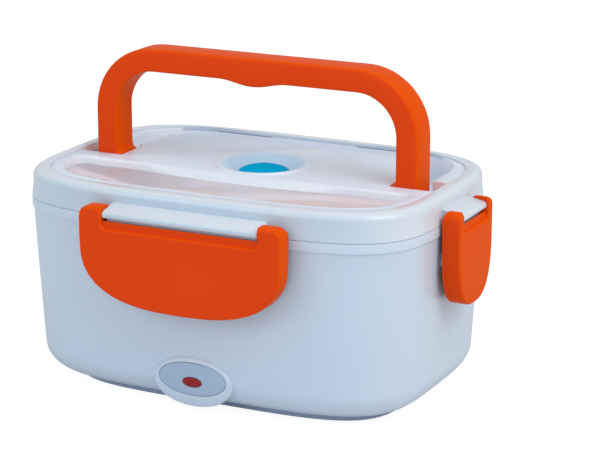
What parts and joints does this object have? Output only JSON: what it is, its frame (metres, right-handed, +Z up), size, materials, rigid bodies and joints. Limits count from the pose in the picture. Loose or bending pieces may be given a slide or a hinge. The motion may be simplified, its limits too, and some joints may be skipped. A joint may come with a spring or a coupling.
{
  "type": "electric lunch box",
  "caption": "Heated lunch box with a lift-out food tub and side dish box, a lid held by snap latches, a fold-down carry handle, a covered spoon tray and a vent plug.",
  "frame": {"origin": "centre of the overall footprint, on the surface that the rubber feet stand on", "axes": "+X along the length, to the right as seen from the front; -Y out of the front, where the indicator is; +Z up"},
  "size_m": [0.2386, 0.1696, 0.1669],
  "materials": {
    "white_shell": "smooth gloss",
    "tray_white": "satin",
    "lid_panel": "translucent gloss",
    "tray_cover": "mirror-smooth gloss",
    "orange": "gloss",
    "plug_blue": "satin silicone",
    "seal": "satin silicone",
    "base_grey": "satin",
    "foot_rubber": "matte",
    "panel_grey": "gloss",
    "lens_red": "clear gloss",
    "inlet_black": "satin",
    "steel": "brushed",
    "aluminium": "cast",
    "contact_brass": "plated",
    "board_green": "matte",
    "fuse_body": "matte",
    "wire_red": "satin"
  },
  "bodies": {
    "base": {"outer_shell": "white_shell", "inner_well": "tray_white", "heating_plate": "steel", "plate_gasket": "seal", "ptc_heater": "aluminium", "heater_clamp": "steel", "clamp_nuts": "steel", "thermal_fuse": "fuse_body", "power_inlet": "inlet_black", "inlet_pins": "contact_brass", "inner_wiring": "wire_red", "indicator_board": "board_green", "indicator_lens": "lens_red", "indicator_panel": "panel_grey", "base_cover": "base_grey", "rubber_feet": "foot_rubber", "base_screws": "steel"},
    "container": {"food_container": "tray_white"},
    "side_dish": {"side_dish_box": "tray_white"},
    "lid": {"lid_frame": "white_shell", "lid_top": "lid_panel", "lid_liner": "white_shell", "seal_ring": "seal"},
    "tray_cover": {"spoon_cover": "tray_cover"},
    "plug": {"vent_plug": "plug_blue"},
    "carry_handle": {"handle": "orange"},
    "front_latch": {"latch_front": "orange"},
    "back_latch": {"latch_back": "orange"},
    "left_latch": {"latch_left": "orange"},
    "right_latch": {"latch_right": "orange"}
  },
  "joints": [
    {"name": "lid_lift", "type": "slide", "parent": "base", "child": "lid", "axis": [0, 0, 1], "range_m": [0, 0.16]},
    {"name": "container_lift", "type": "slide", "parent": "base", "child": "container", "axis": [0, 0, 1], "range_m": [0, 0.08]},
    {"name": "side_dish_lift", "type": "slide", "parent": "container", "child": "side_dish", "axis": [0, 0, 1], "range_m": [0, 0.032]},
    {"name": "spoon_cover_lift", "type": "slide", "parent": "lid", "child": "tray_cover", "axis": [0, 0, 1], "range_m": [0, 0.02]},
    {"name": "vent_plug_pull", "type": "slide", "parent": "lid", "child": "plug", "axis": [0, 0, 1], "range_m": [0, 0.015]},
    {"name": "handle_fold", "type": "hinge", "parent": "lid", "child": "carry_handle", "pos_m": [0, 0.002, 0.10435], "axis": [-1, 0, 0], "range_deg": [0, 90]},
    {"name": "latch_front_open", "type": "hinge", "parent": "lid", "child": "front_latch", "pos_m": [0, -0.0796, 0.1004], "axis": [-1, 0, 0], "range_deg": [0, 110]},
    {"name": "latch_back_open", "type": "hinge", "parent": "lid", "child": "back_latch", "pos_m": [0, 0.0796, 0.1004], "axis": [1, 0, 0], "range_deg": [0, 110]},
    {"name": "latch_left_open", "type": "hinge", "parent": "lid", "child": "left_latch", "pos_m": [-0.1141, 0, 0.1004], "axis": [0, 1, 0], "range_deg": [0, 110]},
    {"name": "latch_right_open", "type": "hinge", "parent": "lid", "child": "right_latch", "pos_m": [0.1141, 0, 0.1004], "axis": [0, -1, 0], "range_deg": [0, 110]}
  ],
  "couplings": [
    {"joint": "container_lift", "follows": "lid_lift", "ratio": 0.5},
    {"joint": "side_dish_lift", "follows": "lid_lift", "ratio": 0.2}
  ]
}
